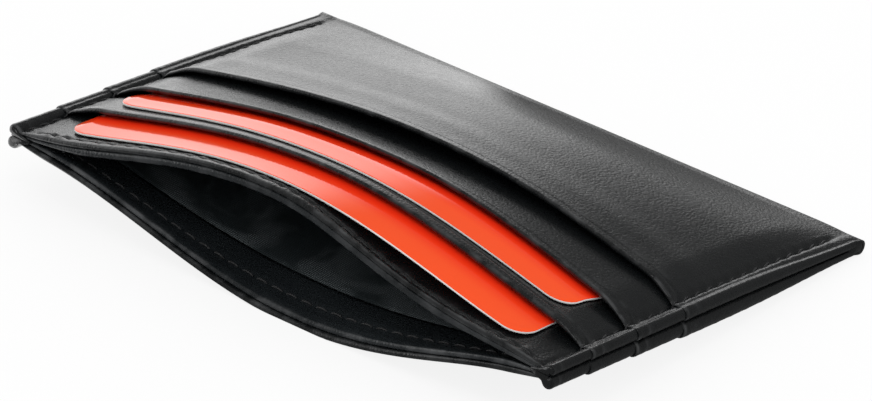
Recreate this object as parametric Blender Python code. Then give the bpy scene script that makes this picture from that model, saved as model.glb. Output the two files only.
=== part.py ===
"""Slim two-sided leather card holder, lying on its back with the centre pocket propped open.

Two stacks of leather, fabric and thread, the front half and the back half, meet at a parting
plane. One outer leather wraps both and is folded at the bottom. Two bendy cards sit in the
front slots and slide out of the mouth.

In the wallet's own frame x runs across, y runs from the mouth to the fold, and z stands on the
parting plane. The whole is then tipped so that it rests on its back lip, back panel and fold.
"""

import math

import bpy
import numpy as np

# Overall size
WALLET_WIDTH = 0.1028
WALLET_HEIGHT = 0.0771
PARTING_GAP = 0.0002
CLEARANCE = 0.00022

# Pocket edges, measured from the mouth
POCKET_1_EDGE = 0.0108
POCKET_2_EDGE = 0.0219
POCKET_3_EDGE = 0.0332
STRIP_TAIL = 0.0075
BACKING_STEP = 0.0003

# Materials' thickness
LEATHER = 0.00055
SIDE_LEATHER = 0.00036
FABRIC = 0.00022
FACING = 0.00045

# Turned edges of the leather
EDGE_WIDTH = 0.0016
EDGE_RAMP = 0.0007
EDGE_SWELL = 0.00028
NOSE_LENGTH = 0.00022
NOSE_SHARE = 0.45

# Cards
CARD_WIDTH = 0.0856
CARD_DEPTH = 0.05398
CARD_THICKNESS = 0.00046
CARD_CORNER = 0.0036
CARD_1_SETBACK = 0.0031
CARD_2_SETBACK = 0.0138
CARD_1_TURN = math.radians(0.6)
CARD_2_TURN = math.radians(1.3)

# Side seams and the rounded beads outside them
SIDE_MARGIN = 0.0003
SEAM_INSET = 0.0030
HIDDEN_INSET = 0.0026
FRONT_BEADS = (0.00080, 0.00088, 0.00096, 0.00104)
BACK_BEADS = (0.00100, 0.00112, 0.00124, 0.00134)
BEAD_STEP = 0.00026
BEAD_POINTS = 3
OPEN_SWEEP = 0.35
BEAD_OPENING = 0.0026

# Fold at the bottom
FOLD_INNER_RADIUS = 0.0008
FOLD_POINTS = 5

# Linings of the centre pocket
FACING_START = 0.0002
FACING_END = 0.0090
FACING_SWELL = 0.00060
FACING_EDGE = 0.0016
FACING_RAMP = 0.0014
FACING_ROOM_SHARE = 0.35
LINING_START = 0.0093
LINING_TO_FOLD = 0.0050
BACKING_PAST_CARD = 0.0016
FADE_LENGTH = 0.0036
CARD_FADE_LENGTH = 0.0040
TAIL_FADE = 0.0060

# How the two halves bow apart
FRONT_RISE = 0.0074
FRONT_FLARE = 0.0009
FRONT_FLARE_REACH = 0.0050
BACK_RISE = 0.0034
BACK_FLARE = 0.0050
BACK_FLARE_REACH = 0.0160
DEPTH_POWER = 2.4
ACROSS_POWER = 1.25
MOUTH_POWER = 0.75
SHAPE_REACH = 0.0090
FRONT_LEAN_SHARE = 0.07
BACK_LEAN_SHARE = -0.10

# The front lip droops away from the card on the right
DROOP = 0.0013
DROOP_PLACE = 0.0205
DROOP_WIDTH = 0.0226
DROOP_REACH = 0.0080

# The layers under the outer leather sink away from its turned edge
DIP = 0.0012
DIP_HOLD = 0.0030
DIP_REACH = 0.0240

# Pocket edges run nearer the mouth towards the right side
SKEW = 0.0024
SKEW_ACROSS_POWER = 1.5
SKEW_ALONG_POWER = 0.6
SKEW_ROUNDS = 12

# Flat places pressed by the table
LIP_PRESS = 0.00015
LIP_PRESS_WIDTH = 0.0030

# Thread
STITCH_PITCH = 0.0027
STITCH_WIDTH = 0.00042
STITCH_HEIGHT = 0.00030
HOLE_SHARE = 0.45
FRONT_LIP_SEAM = 0.0013
BACK_LIP_SEAM = 0.0040
FACING_SEAM_SHARE = 0.86
SEAM_END = 0.0014
SEAM_TO_FOLD = 0.0042

# Mesh density
MAIN_SHARES = (0.0, 0.21, 0.43, 0.65, 0.86)
ROW_PITCH = 0.0060
LEAST_ROW_SHARE = 0.12
CARD_SHARES = (0.0, 0.21, 0.43, 0.65, 0.80)

# Colours and finishes
BLACK_LEATHER = (0.022, 0.022, 0.024)
BLACK_FABRIC = (0.018, 0.020, 0.022)
BLACK_THREAD = (0.030, 0.030, 0.032)
CARD_RED = (0.90, 0.13, 0.06)

# Sizes that follow
PARTING = PARTING_GAP / 2
HALF_WIDTH = WALLET_WIDTH / 2
SEAM_X = HALF_WIDTH - SEAM_INSET
HIDDEN_X = HALF_WIDTH - HIDDEN_INSET
ROOM_X = CARD_WIDTH / 2 + SIDE_MARGIN
FOLD_CENTRE = WALLET_HEIGHT - FOLD_INNER_RADIUS - LEATHER
FOLD_BEAD = (FOLD_INNER_RADIUS + SIDE_LEATHER - PARTING) / 2
STRIP_ENDS = (
    POCKET_1_EDGE + STRIP_TAIL,
    POCKET_2_EDGE + STRIP_TAIL,
    POCKET_3_EDGE + STRIP_TAIL,
)
LINING_END = WALLET_HEIGHT - LINING_TO_FOLD
CARD_1_END = CARD_1_SETBACK + CARD_DEPTH
CARD_2_END = CARD_2_SETBACK + CARD_DEPTH
BACKING_1_END = CARD_1_END + BACKING_PAST_CARD
BACKING_2_END = CARD_2_END + BACKING_PAST_CARD
KEY_ROWS = (
    STRIP_ENDS[0] + TAIL_FADE / 2,
    STRIP_ENDS[1] + TAIL_FADE / 2,
    STRIP_ENDS[2] + TAIL_FADE / 2,
    CARD_1_END,
    BACKING_1_END,
    BACKING_1_END + FADE_LENGTH,
    CARD_2_END,
    BACKING_2_END,
    LINING_END + FADE_LENGTH / 2,
)

FRONT = {
    "name": "front",
    "sign": 1,
    "rise": FRONT_RISE,
    "flare": FRONT_FLARE,
    "reach": FRONT_FLARE_REACH,
    "lean_share": FRONT_LEAN_SHARE,
    "droop": DROOP,
    "dip": DIP,
    "beads": FRONT_BEADS,
    "lip_seam": FRONT_LIP_SEAM,
    "cards": 1.0,
}
BACK = {
    "name": "back",
    "sign": -1,
    "rise": BACK_RISE,
    "flare": BACK_FLARE,
    "reach": BACK_FLARE_REACH,
    "lean_share": BACK_LEAN_SHARE,
    "droop": 0.0,
    "dip": 0.0,
    "beads": BACK_BEADS,
    "lip_seam": BACK_LIP_SEAM,
    "cards": 0.0,
}


def smooth(value, start, length):
    """Ease from 0 to 1 over a length that begins at start."""
    share = np.clip((value - start) / length, 0.0, 1.0)
    return share * share * (3.0 - 2.0 * share)


def mix(first, second, share):
    return first + (second - first) * share


def room(x):
    """1 where the cards reach, easing to 0 at the side seams."""
    return 1.0 - smooth(np.abs(x), ROOM_X, SEAM_X - ROOM_X)


def skew_at(x, y):
    """How far a point at x and y is drawn towards the mouth."""
    across = np.clip(np.asarray(x, float) / HALF_WIDTH, 0.0, 1.0) ** SKEW_ACROSS_POWER
    along = np.clip(np.asarray(y, float) / FOLD_CENTRE, 0.0, 1.0) ** SKEW_ALONG_POWER
    return SKEW * across * np.sin(math.pi * along)


def unskewed(x, y):
    """The place along the wallet that is drawn to y at x."""
    place = y
    for _ in range(SKEW_ROUNDS):
        place = y + skew_at(x, place)
    return place


def skewed(points):
    """Points of a half, drawn towards the mouth."""
    points = np.array(points, float)
    points[..., 1] -= skew_at(points[..., 0], points[..., 1])
    return points


def droop(half, x, y):
    """How far the front lip hangs away from the card over it."""
    across = np.clip((np.asarray(x, float) - DROOP_PLACE) / DROOP_WIDTH, -1.0, 1.0)
    return half["droop"] * (1.0 - across**2) ** 2 * np.exp(-y / DROOP_REACH)


def dip(half, x, y):
    """How far the layers under the outer leather sink away from it."""
    across = np.clip(np.asarray(x, float) / SEAM_X, -1.0, 1.0)
    sink = smooth(y, POCKET_2_EDGE, POCKET_3_EDGE - POCKET_2_EDGE)
    sink = sink * (1.0 - smooth(y, POCKET_3_EDGE + DIP_HOLD, DIP_REACH))
    return half["dip"] * (1.0 - across**2) ** 2 * sink


def leather_at(x):
    return mix(SIDE_LEATHER, LEATHER, room(x))


def facing_at(x):
    return mix(FABRIC, FACING, room(x))


def fabric_at(x):
    return FABRIC + 0.0 * x


def levels(half, x, y):
    """Height of each layer's inner side above the half's innermost surface."""
    leather = leather_at(x)
    held = room(x) * half["cards"]
    facing = mix(FACING, FABRIC, smooth(y, POCKET_1_EDGE, STRIP_TAIL))
    lining = mix(FABRIC, facing, room(x)) * (1.0 - smooth(y, LINING_END, FADE_LENGTH))
    base = lining + CLEARANCE
    height = lining + (CLEARANCE + leather) * (1.0 - smooth(y, STRIP_ENDS[0], TAIL_FADE))
    height = height + droop(half, x, y)
    card_1 = height + CLEARANCE
    thick = (CLEARANCE + CARD_THICKNESS) * held
    height = height + thick * (1.0 - smooth(y, CARD_1_END, CARD_FADE_LENGTH))
    pocket_1 = height + CLEARANCE
    layer = CLEARANCE + mix(leather, FABRIC, smooth(y, STRIP_ENDS[1], TAIL_FADE))
    height = height + layer * (1.0 - smooth(y, BACKING_1_END, FADE_LENGTH))
    card_2 = height + CLEARANCE
    height = height + thick * (1.0 - smooth(y, CARD_2_END, CARD_FADE_LENGTH))
    pocket_2 = height + CLEARANCE
    layer = CLEARANCE + mix(leather, FABRIC, smooth(y, STRIP_ENDS[2], TAIL_FADE))
    height = height + layer * (1.0 - smooth(y, BACKING_2_END, FADE_LENGTH))
    panel = np.maximum(height + CLEARANCE, FOLD_INNER_RADIUS - PARTING) + dip(half, x, y)
    return {
        "lining": 0.0 * leather,
        "base": base,
        "card_1": card_1,
        "pocket_1": pocket_1,
        "card_2": card_2,
        "pocket_2": pocket_2,
        "panel": panel,
    }


def natural_rise(half, x, y):
    """Height of the half's innermost surface over the parting plane before the table presses."""
    depth = 1.0 - np.clip(y / FOLD_CENTRE, 0.0, 1.0) ** DEPTH_POWER
    rise = (half["rise"] + half["flare"] * np.exp(-y / half["reach"])) * depth
    across = np.clip(x / SEAM_X, -1.0, 1.0)
    fading = np.exp(-y / SHAPE_REACH)
    across = across + half["lean_share"] * fading * (1.0 - across**2)
    power = ACROSS_POWER + MOUTH_POWER * fading
    bow = rise * np.clip(1.0 - across**2, 0.0, 1.0) ** power
    return np.maximum(bow - droop(half, x, y) - dip(half, x, y), 0.0)


def lip_top(half, x, y):
    return levels(half, x, y)["base"] + leather_at(x)


def table_line():
    """Depth of the table below the parting plane at the mouth, and its slope to the fold."""
    lip = PARTING + BACK_RISE + BACK_FLARE - LIP_PRESS + float(lip_top(BACK, 0.0, 0.0))
    radius = FOLD_INNER_RADIUS + LEATHER
    slope = 0.0
    for _ in range(20):
        slope = (lip - radius * math.sqrt(1.0 + slope * slope)) / FOLD_CENTRE
    return lip, slope


TABLE_DEPTH, TABLE_SLOPE = table_line()


def table_depth(x, y):
    """Depth of the table below the parting plane where a point at x and y is drawn to."""
    return TABLE_DEPTH - TABLE_SLOPE * (y - skew_at(x, y))


def inner_surface(half, x, y):
    """Height of the half's innermost surface over the parting plane."""
    x = np.asarray(x, float)
    y = np.asarray(y, float)
    free = natural_rise(half, x, y)
    if half["sign"] > 0:
        return PARTING + free
    outer = levels(half, x, y)["panel"] + leather_at(x)
    covered = smooth(y, LIP_PRESS_WIDTH, POCKET_3_EDGE - LIP_PRESS_WIDTH)
    stack = mix(lip_top(half, x, y), outer, covered)
    table = table_depth(x, y)
    return PARTING + np.minimum(free, np.maximum(table - stack - PARTING, 0.0))


def edge_swell(distance):
    """How far a turned edge stands out, at a distance from it."""
    return EDGE_SWELL * (1.0 - smooth(distance, EDGE_WIDTH, EDGE_RAMP))


def column_places():
    """Columns across the main part of a layer, from seam to seam."""
    right = [share * SEAM_X for share in MAIN_SHARES]
    right += [ROOM_X, (ROOM_X + SEAM_X) / 2, SEAM_X]
    right = sorted(set(right))
    return np.array([-place for place in reversed(right[1:])] + right)


COLUMNS = column_places()


def row_places(start, end, extra=()):
    """Rows from start to end: where layers begin or fade, the common pitch, and extra rows."""
    inside = [row for row in tuple(extra) + KEY_ROWS if start < row < end]
    rows = [start, end]
    least = ROW_PITCH * LEAST_ROW_SHARE
    for row in inside:
        if min(abs(row - other) for other in rows) > least or row in extra:
            rows.append(row)
    for index in range(int(WALLET_HEIGHT / ROW_PITCH) + 1):
        row = ROW_PITCH * index
        if start < row < end and min(abs(row - other) for other in rows) > ROW_PITCH / 4:
            rows.append(row)
    return sorted(set(rows))


def strip_row(half, layer, y, bead, start):
    """Outer and inner points of one leather row: main columns, then the bead on both sides."""
    level = levels(half, COLUMNS, y)[layer]
    base = inner_surface(half, COLUMNS, y)
    inner = base + level
    swell = edge_swell(y - start)
    outer = inner + leather_at(COLUMNS) + swell
    if half["sign"] < 0:
        outer = np.minimum(outer, table_depth(COLUMNS, y))
    side_level = float(levels(half, SEAM_X, y)[layer])
    side_base = float(inner_surface(half, SEAM_X, y))
    reach = []
    if bead is None:
        span = HIDDEN_X - SEAM_X
        for index in range(BEAD_POINTS + 1):
            x = SEAM_X + span * (index + 1) / (BEAD_POINTS + 1)
            z = side_base + side_level
            reach.append((x, z + SIDE_LEATHER, x, z))
    else:
        radius, edge_x, sweep = bead
        crown = PARTING + 2 * radius
        centre_x = edge_x - radius * math.sin(min(sweep, math.pi / 2))
        for index in range(BEAD_POINTS + 1):
            angle = sweep * index / BEAD_POINTS
            grown = radius + swell * (1.0 - angle / math.pi)
            small = radius - SIDE_LEATHER
            middle = crown - radius
            reach.append(
                (
                    centre_x + grown * math.sin(angle),
                    middle + grown * math.cos(angle),
                    centre_x + small * math.sin(angle),
                    middle + small * math.cos(angle),
                )
            )
    outer_points = [(x, y, z) for x, z in zip(COLUMNS, outer)]
    inner_points = [(x, y, z) for x, z in zip(COLUMNS, inner)]
    outer_points += [(x, y, z) for x, z, _, _ in reach]
    inner_points += [(x, y, z) for _, _, x, z in reach]
    outer_points = [(-x, y, z) for x, z, _, _ in reversed(reach)] + outer_points
    inner_points = [(-x, y, z) for _, _, x, z in reversed(reach)] + inner_points
    return np.array(outer_points), np.array(inner_points)


def nose(outer, inner):
    """Draw a row's two sides together, which rounds the edge."""
    middle = (outer + inner) / 2
    return mix(middle, outer, NOSE_SHARE), mix(middle, inner, NOSE_SHARE)


def flip(points, half):
    """Bring a half's points to the wallet's frame."""
    return skewed(points) * np.array([1.0, 1.0, half["sign"]])


def add_object(name, vertices, faces, material, origin=(0.0, 0.0, 0.0)):
    mesh = bpy.data.meshes.new(name)
    mesh.from_pydata((np.asarray(vertices) - np.array(origin)).tolist(), [], faces)
    mesh.materials.append(material)
    mesh.validate()
    mesh.shade_smooth()
    mesh.set_sharp_from_angle(angle=math.radians(40))
    item = bpy.data.objects.new(name, mesh)
    item.location = origin
    bpy.context.scene.collection.objects.link(item)
    return item


def sheet_mesh(outer, inner, turned):
    """Vertices and faces of a closed sheet between two grids of points."""
    rows, columns = outer.shape[:2]
    vertices = np.concatenate([outer.reshape(-1, 3), inner.reshape(-1, 3)])
    under = rows * columns

    def at(row, column):
        return row * columns + column

    faces = []
    for row in range(rows - 1):
        for column in range(columns - 1):
            a = at(row, column)
            b = at(row, column + 1)
            c = at(row + 1, column + 1)
            d = at(row + 1, column)
            faces.append((a, b, c, d))
            faces.append((under + d, under + c, under + b, under + a))
    rim = [at(0, column) for column in range(columns)]
    rim += [at(row, columns - 1) for row in range(1, rows)]
    rim += [at(rows - 1, column) for column in range(columns - 2, -1, -1)]
    rim += [at(row, 0) for row in range(rows - 2, 0, -1)]
    for first, second in zip(rim, rim[1:] + rim[:1]):
        faces.append((second, first, under + first, under + second))
    if turned:
        faces = [tuple(reversed(face)) for face in faces]
    return vertices, faces


def add_sheet(name, rows, half, material):
    outer = flip(np.array([row[0] for row in rows]), half)
    inner = flip(np.array([row[1] for row in rows]), half)
    vertices, faces = sheet_mesh(outer, inner, half["sign"] < 0)
    return add_object(name, vertices, faces, material)


def bead_of(half, index):
    """Radius and outer reach of the bead of the base, pocket 1, pocket 2 or outer leather."""
    radii = half["beads"]
    step = BEAD_STEP * (len(radii) - 1 - index)
    return radii[index], HALF_WIDTH - step, math.pi


def add_strip(half, name, layer, index, start, covered, end, material):
    """One leather strip: a turned top edge, beads as far as it shows, then its flat tail."""
    edge_rows = (start + NOSE_LENGTH, start + EDGE_WIDTH, start + EDGE_WIDTH + EDGE_RAMP)
    shown = covered - EDGE_RAMP
    hidden = covered - CLEARANCE
    rows = []
    for y in row_places(start, end, edge_rows + (shown, hidden)):
        bead = bead_of(half, index) if y <= shown else None
        outer, inner = strip_row(half, layer, y, bead, start)
        if y == start:
            outer, inner = nose(outer, inner)
        rows.append((outer, inner))
    return add_sheet(f"{half['name']}_{name}", rows, half, material)


def panel_rows(half):
    """Rows of the outer leather on one half, from its turned edge to the fold."""
    start = POCKET_3_EDGE
    opening = FOLD_CENTRE - BEAD_OPENING
    extra = (
        start + NOSE_LENGTH,
        start + EDGE_WIDTH,
        start + EDGE_WIDTH + EDGE_RAMP,
        opening,
        (opening + FOLD_CENTRE) / 2,
    )
    radius, edge_x, sweep = bead_of(half, len(half["beads"]) - 1)
    rows = []
    for y in row_places(start, FOLD_CENTRE, extra):
        shrink = float(smooth(y, POCKET_3_EDGE, FOLD_CENTRE - POCKET_3_EDGE)) ** 2
        opened = float(smooth(y, opening, BEAD_OPENING))
        bead = (mix(radius, FOLD_BEAD, shrink), edge_x, mix(sweep, OPEN_SWEEP, opened))
        outer, inner = strip_row(half, "panel", y, bead, start)
        if y == start:
            outer, inner = nose(outer, inner)
        rows.append((flip(outer, half), flip(inner, half)))
    return rows


def fold_rows(last):
    """Rows round the fold, which turn the last front row over to the back."""
    outer_last, inner_last = last
    places = outer_last[:, 0]
    thickness = leather_at(places)
    rows = []
    for index in range(1, FOLD_POINTS + 1):
        angle = math.pi / 2 - math.pi * index / (FOLD_POINTS + 1)
        grids = []
        for x, radius in (
            (places, FOLD_INNER_RADIUS + thickness),
            (inner_last[:, 0], FOLD_INNER_RADIUS + 0.0 * thickness),
        ):
            y = FOLD_CENTRE + radius * math.cos(angle)
            grids.append(np.stack([x, y, radius * math.sin(angle)], axis=1))
        rows.append(tuple(grids))
    return rows


def add_outer_leather(material):
    front = panel_rows(FRONT)
    back = panel_rows(BACK)
    rows = front + fold_rows(front[-1]) + back[::-1]
    outer = np.array([row[0] for row in rows])
    inner = np.array([row[1] for row in rows])
    vertices, faces = sheet_mesh(outer, inner, False)
    return add_object("outer_leather", vertices, faces, material)


def add_layer(half, name, layer, thickness, start, end, material):
    """A plain inner layer between the side seams."""
    rows = []
    for y in row_places(start, end):
        inner = inner_surface(half, COLUMNS, y) + levels(half, COLUMNS, y)[layer]
        inner_points = np.stack([COLUMNS, 0.0 * COLUMNS + y, inner], axis=1)
        outer_points = inner_points + np.outer(thickness(COLUMNS), (0.0, 0.0, 1.0))
        rows.append((outer_points, inner_points))
    return add_sheet(f"{half['name']}_{name}", rows, half, material)


def facing_swell(half, x, y):
    """How far the facing's folded edge stands into the mouth."""
    swell = FACING_SWELL * (1.0 - smooth(y - FACING_START, FACING_EDGE, FACING_RAMP))
    return np.minimum(swell, FACING_ROOM_SHARE * (inner_surface(half, x, y) - PARTING))


def add_facing(half, material):
    """The facing inside the lip, with its folded edge at the mouth."""
    edge_rows = (
        FACING_START + NOSE_LENGTH,
        FACING_START + FACING_EDGE,
        FACING_START + FACING_EDGE + FACING_RAMP,
    )
    rows = []
    for y in row_places(FACING_START, FACING_END, edge_rows):
        base = inner_surface(half, COLUMNS, y)
        inner = base - facing_swell(half, COLUMNS, y)
        inner_points = np.stack([COLUMNS, 0.0 * COLUMNS + y, inner], axis=1)
        outer_points = np.stack([COLUMNS, 0.0 * COLUMNS + y, base + facing_at(COLUMNS)], axis=1)
        if y == FACING_START:
            outer_points, inner_points = nose(outer_points, inner_points)
        rows.append((outer_points, inner_points))
    return add_sheet(f"{half['name']}_lip_facing", rows, half, material)


def card_half_width(distance):
    """Half width of a card at a distance from its nearer long edge."""
    inside = max(CARD_CORNER - distance, 0.0)
    return CARD_WIDTH / 2 - CARD_CORNER + math.sqrt(CARD_CORNER**2 - inside**2)


def card_point(across, along, setback, turn):
    """Where a point of a card lies, from its place across the card and along from its middle."""
    x = across * math.cos(turn) + along * math.sin(turn)
    y = setback + CARD_DEPTH / 2 + along * math.cos(turn) - across * math.sin(turn)
    return x, y


def row_on_card(across, row, setback, turn):
    """Places along a card, from its middle, that lie on a row of the wallet."""
    along = row - setback - CARD_DEPTH / 2 + 0.0 * across
    for _ in range(SKEW_ROUNDS):
        x, y = card_point(across, along, setback, turn)
        along = along + (row - skew_at(x, row) - y) / math.cos(turn)
    return along


def add_card(name, layer, setback, turn, material):
    """A card bent to the arch of its pocket, with its origin at its near edge."""
    corner_rows = [0.0, CARD_CORNER * (1.0 - math.cos(math.pi / 4)), CARD_CORNER]
    far_rows = [CARD_DEPTH - row for row in reversed(corner_rows)]
    places = [share * SEAM_X for share in CARD_SHARES]
    near = corner_rows[-1] + setback + ROW_PITCH / 4
    far = far_rows[0] + setback - ROW_PITCH / 4
    middle = [row for row in row_places(setback, setback + CARD_DEPTH) if near < row < far]
    rows = [(distance, None) for distance in corner_rows]
    rows += [(CARD_DEPTH / 2, row) for row in middle]
    rows += [(distance, None) for distance in far_rows]
    outer = []
    inner = []
    for distance, row in rows:
        right = places + [card_half_width(min(distance, CARD_DEPTH - distance))]
        across = np.array([-place for place in reversed(right[1:])] + right)
        along = distance - CARD_DEPTH / 2
        if row is not None:
            along = row_on_card(across, row, setback, turn)
        x, y = card_point(across, along, setback, turn)
        place = unskewed(x, y)
        height = inner_surface(FRONT, x, place) + levels(FRONT, x, place)[layer]
        inner.append(np.stack([x, y, height], axis=1))
        outer.append(inner[-1] + np.array([0.0, 0.0, CARD_THICKNESS]))
    vertices, faces = sheet_mesh(np.array(outer), np.array(inner), False)
    origin = (0.0, setback, float(inner_surface(FRONT, 0.0, setback)))
    return add_object(name, vertices, faces, material, origin)


def thread_row(name, points, out, material):
    """One thread lying along points: full at each stitch's middle, drawn thin at each hole."""
    points = skewed(points)
    out = np.array(out)
    along = np.gradient(points, axis=0)
    across = np.cross(along, out)
    across = across / np.linalg.norm(across, axis=1)[:, None]
    vertices = []
    for index, (point, side) in enumerate(zip(points, across)):
        share = 1.0 if index % 2 else HOLE_SHARE
        vertices.append(point + side * STITCH_WIDTH / 2 * share)
        vertices.append(point + out * STITCH_HEIGHT * share)
        vertices.append(point - side * STITCH_WIDTH / 2 * share)
    faces = [(0, 1, 2)]
    for index in range(len(points) - 1):
        for corner in range(3):
            here = 3 * index + corner
            beside = 3 * index + (corner + 1) % 3
            faces.append((here, here + 3, beside + 3, beside))
    last = 3 * (len(points) - 1)
    faces.append((last + 2, last + 1, last))
    return add_object(name, vertices, faces, material)


def seam_steps(start, end):
    """Places of holes and stitch middles in turn, from start to end."""
    count = 2 * int((end - start) / STITCH_PITCH)
    return [start + (end - start) * index / count for index in range(count + 1)]


def outermost(half, y):
    """Height of the half's outermost leather on the side seam."""
    zones = ((POCKET_3_EDGE, "panel"), (POCKET_2_EDGE, "pocket_2"), (POCKET_1_EDGE, "pocket_1"))
    base = float(inner_surface(half, SEAM_X, y)) + SIDE_LEATHER
    for start, layer in zones:
        if y >= start:
            return base + float(levels(half, SEAM_X, y)[layer] + edge_swell(y - start))
    return base + float(levels(half, SEAM_X, y)["base"] + edge_swell(y))


def side_seam(half, side):
    """Points of the thread along one side seam, lifted over each pocket's edge."""
    reach = STITCH_PITCH / 2
    points = []
    for y in seam_steps(SEAM_END, FOLD_CENTRE - SEAM_TO_FOLD):
        near = [outermost(half, y + reach * share) for share in (-1.0, -0.5, 0.0, 0.5, 1.0)]
        points.append((side * SEAM_X, y, half["sign"] * (max(near) + CLEARANCE)))
    return points


def lip_seam(half, inside):
    """Points of the thread along the lip, on its outer side or inside the mouth."""
    y = half["lip_seam"]
    surface = inner_surface(half, COLUMNS, y)
    reach = SEAM_X - STITCH_PITCH
    if inside:
        reach = FACING_SEAM_SHARE * SEAM_X
        surface = surface - facing_swell(half, COLUMNS, y) - CLEARANCE
    else:
        surface = surface + lip_top(half, COLUMNS, y) + edge_swell(y) + CLEARANCE
    points = []
    for x in seam_steps(-reach, reach):
        points.append((x, y, half["sign"] * float(np.interp(x, COLUMNS, surface))))
    return points


def make_material(name, colour, roughness):
    material = bpy.data.materials.new(name)
    material.use_nodes = True
    shader = material.node_tree.nodes["Principled BSDF"]
    shader.inputs["Base Color"].default_value = (*colour, 1.0)
    shader.inputs["Roughness"].default_value = roughness
    shader.inputs["Metallic"].default_value = 0.0
    return material


def clear_scene():
    for item in list(bpy.data.objects):
        bpy.data.objects.remove(item, do_unlink=True)


def build_half(half, leather, fabric, thread):
    """All layers of one half but the outer leather."""
    items = [
        add_strip(half, "base_panel", "base", 0, 0.0, POCKET_1_EDGE, STRIP_ENDS[0], leather),
        add_strip(
            half, "pocket_1", "pocket_1", 1, POCKET_1_EDGE, POCKET_2_EDGE, STRIP_ENDS[1], leather
        ),
        add_strip(
            half, "pocket_2", "pocket_2", 2, POCKET_2_EDGE, POCKET_3_EDGE, STRIP_ENDS[2], leather
        ),
        add_facing(half, leather),
        add_layer(half, "lining", "lining", fabric_at, LINING_START, LINING_END, fabric),
    ]
    for number, end, layer in ((1, BACKING_1_END, "pocket_1"), (2, BACKING_2_END, "pocket_2")):
        start = STRIP_ENDS[number] + BACKING_STEP
        name = f"pocket_{number}_backing"
        items.append(add_layer(half, name, layer, fabric_at, start, end, fabric))
    name = half["name"]
    up = (0.0, 0.0, half["sign"])
    down = (0.0, 0.0, -half["sign"])
    items.append(thread_row(f"{name}_left_seam", side_seam(half, -1), up, thread))
    items.append(thread_row(f"{name}_right_seam", side_seam(half, 1), up, thread))
    items.append(thread_row(f"{name}_lip_seam", lip_seam(half, False), up, thread))
    items.append(thread_row(f"{name}_facing_seam", lip_seam(half, True), down, thread))
    return items


def rest_on_table(items):
    """Tip the wallet onto its back and bring the middle of its underside to the origin."""
    tilt = math.atan(TABLE_SLOPE)
    points = []
    for item in items:
        shift = np.array(item.location)
        points += [np.array(vertex.co) + shift for vertex in item.data.vertices]
    points = np.array(points)
    along = points[:, 1] * math.cos(tilt) + points[:, 2] * math.sin(tilt)
    stand = bpy.data.objects.new("wallet_stand", None)
    bpy.context.scene.collection.objects.link(stand)
    stand.rotation_euler = (-tilt, 0.0, 0.0)
    middle_x = (points[:, 0].min() + points[:, 0].max()) / 2
    middle_y = (along.min() + along.max()) / 2
    stand.location = (-middle_x, -middle_y, TABLE_DEPTH * math.cos(tilt))
    for item in items:
        item.parent = stand
    return stand


def main():
    clear_scene()
    leather = make_material("black_leather", BLACK_LEATHER, 0.42)
    fabric = make_material("black_fabric", BLACK_FABRIC, 0.85)
    thread = make_material("black_thread", BLACK_THREAD, 0.6)
    card = make_material("red_card", CARD_RED, 0.35)
    items = [add_outer_leather(leather)]
    items += build_half(FRONT, leather, fabric, thread)
    items += build_half(BACK, leather, fabric, thread)
    items.append(add_card("front_card_1", "card_1", CARD_1_SETBACK, CARD_1_TURN, card))
    items.append(add_card("front_card_2", "card_2", CARD_2_SETBACK, CARD_2_TURN, card))
    rest_on_table(items)
    bpy.context.view_layer.update()


main()
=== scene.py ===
"""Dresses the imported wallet: leather with turned edges and beads, lining, stitches and cards.

Lengths are in metres. In the wallet's own frame x runs across, y runs from the mouth to the
fold, and z stands on the parting plane between the halves. place() brings points of that frame
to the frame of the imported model, where the wallet lies tipped on its back. Each half is shaped
with z outwards, and half_place() turns the back half over.
"""

import math

import bpy
import numpy as np
from mathutils import Matrix, Vector


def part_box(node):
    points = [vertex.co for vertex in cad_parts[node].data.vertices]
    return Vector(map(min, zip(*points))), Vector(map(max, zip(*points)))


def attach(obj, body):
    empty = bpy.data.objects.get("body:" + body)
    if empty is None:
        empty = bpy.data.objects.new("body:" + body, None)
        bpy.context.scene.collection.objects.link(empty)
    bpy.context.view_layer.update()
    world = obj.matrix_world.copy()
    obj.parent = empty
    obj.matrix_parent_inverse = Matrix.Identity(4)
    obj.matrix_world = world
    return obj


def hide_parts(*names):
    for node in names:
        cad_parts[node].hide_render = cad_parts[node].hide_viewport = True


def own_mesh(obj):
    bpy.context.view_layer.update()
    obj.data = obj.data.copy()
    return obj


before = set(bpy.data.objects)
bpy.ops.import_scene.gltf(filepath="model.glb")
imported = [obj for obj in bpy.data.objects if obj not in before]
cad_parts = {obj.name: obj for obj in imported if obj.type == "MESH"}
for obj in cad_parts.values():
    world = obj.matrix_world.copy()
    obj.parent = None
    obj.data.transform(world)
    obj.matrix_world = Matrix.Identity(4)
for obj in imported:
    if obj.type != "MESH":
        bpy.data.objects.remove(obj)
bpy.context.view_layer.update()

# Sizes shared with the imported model
WALLET_WIDTH = 0.1028
WALLET_HEIGHT = 0.0771
PARTING_GAP = 0.0002
CLEARANCE = 0.00022
POCKET_EDGES = (0.0, 0.0108, 0.0219, 0.0332)
STRIP_TAIL = 0.0075
BACKING_STEP = 0.0003
LEATHER = 0.00055
SIDE_LEATHER = 0.00036
FABRIC = 0.00022
FACING = 0.00045
EDGE_WIDTH = 0.0016
EDGE_RAMP = 0.0007
EDGE_SWELL = 0.00028
CARD_WIDTH = 0.0856
CARD_DEPTH = 0.05398
CARD_THICKNESS = 0.00046
CARD_CORNER = 0.0036
CARD_SETBACKS = (0.0031, 0.0138)
CARD_TURNS = (math.radians(0.6), math.radians(1.3))
SIDE_MARGIN = 0.0003
SEAM_INSET = 0.0030
HIDDEN_INSET = 0.0026
BEAD_STEP = 0.00026
OPEN_SWEEP = 0.35
BEAD_OPENING = 0.0026
FOLD_INNER_RADIUS = 0.0008
FACING_START = 0.0002
FACING_END = 0.0090
FACING_EDGE = 0.0016
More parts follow.
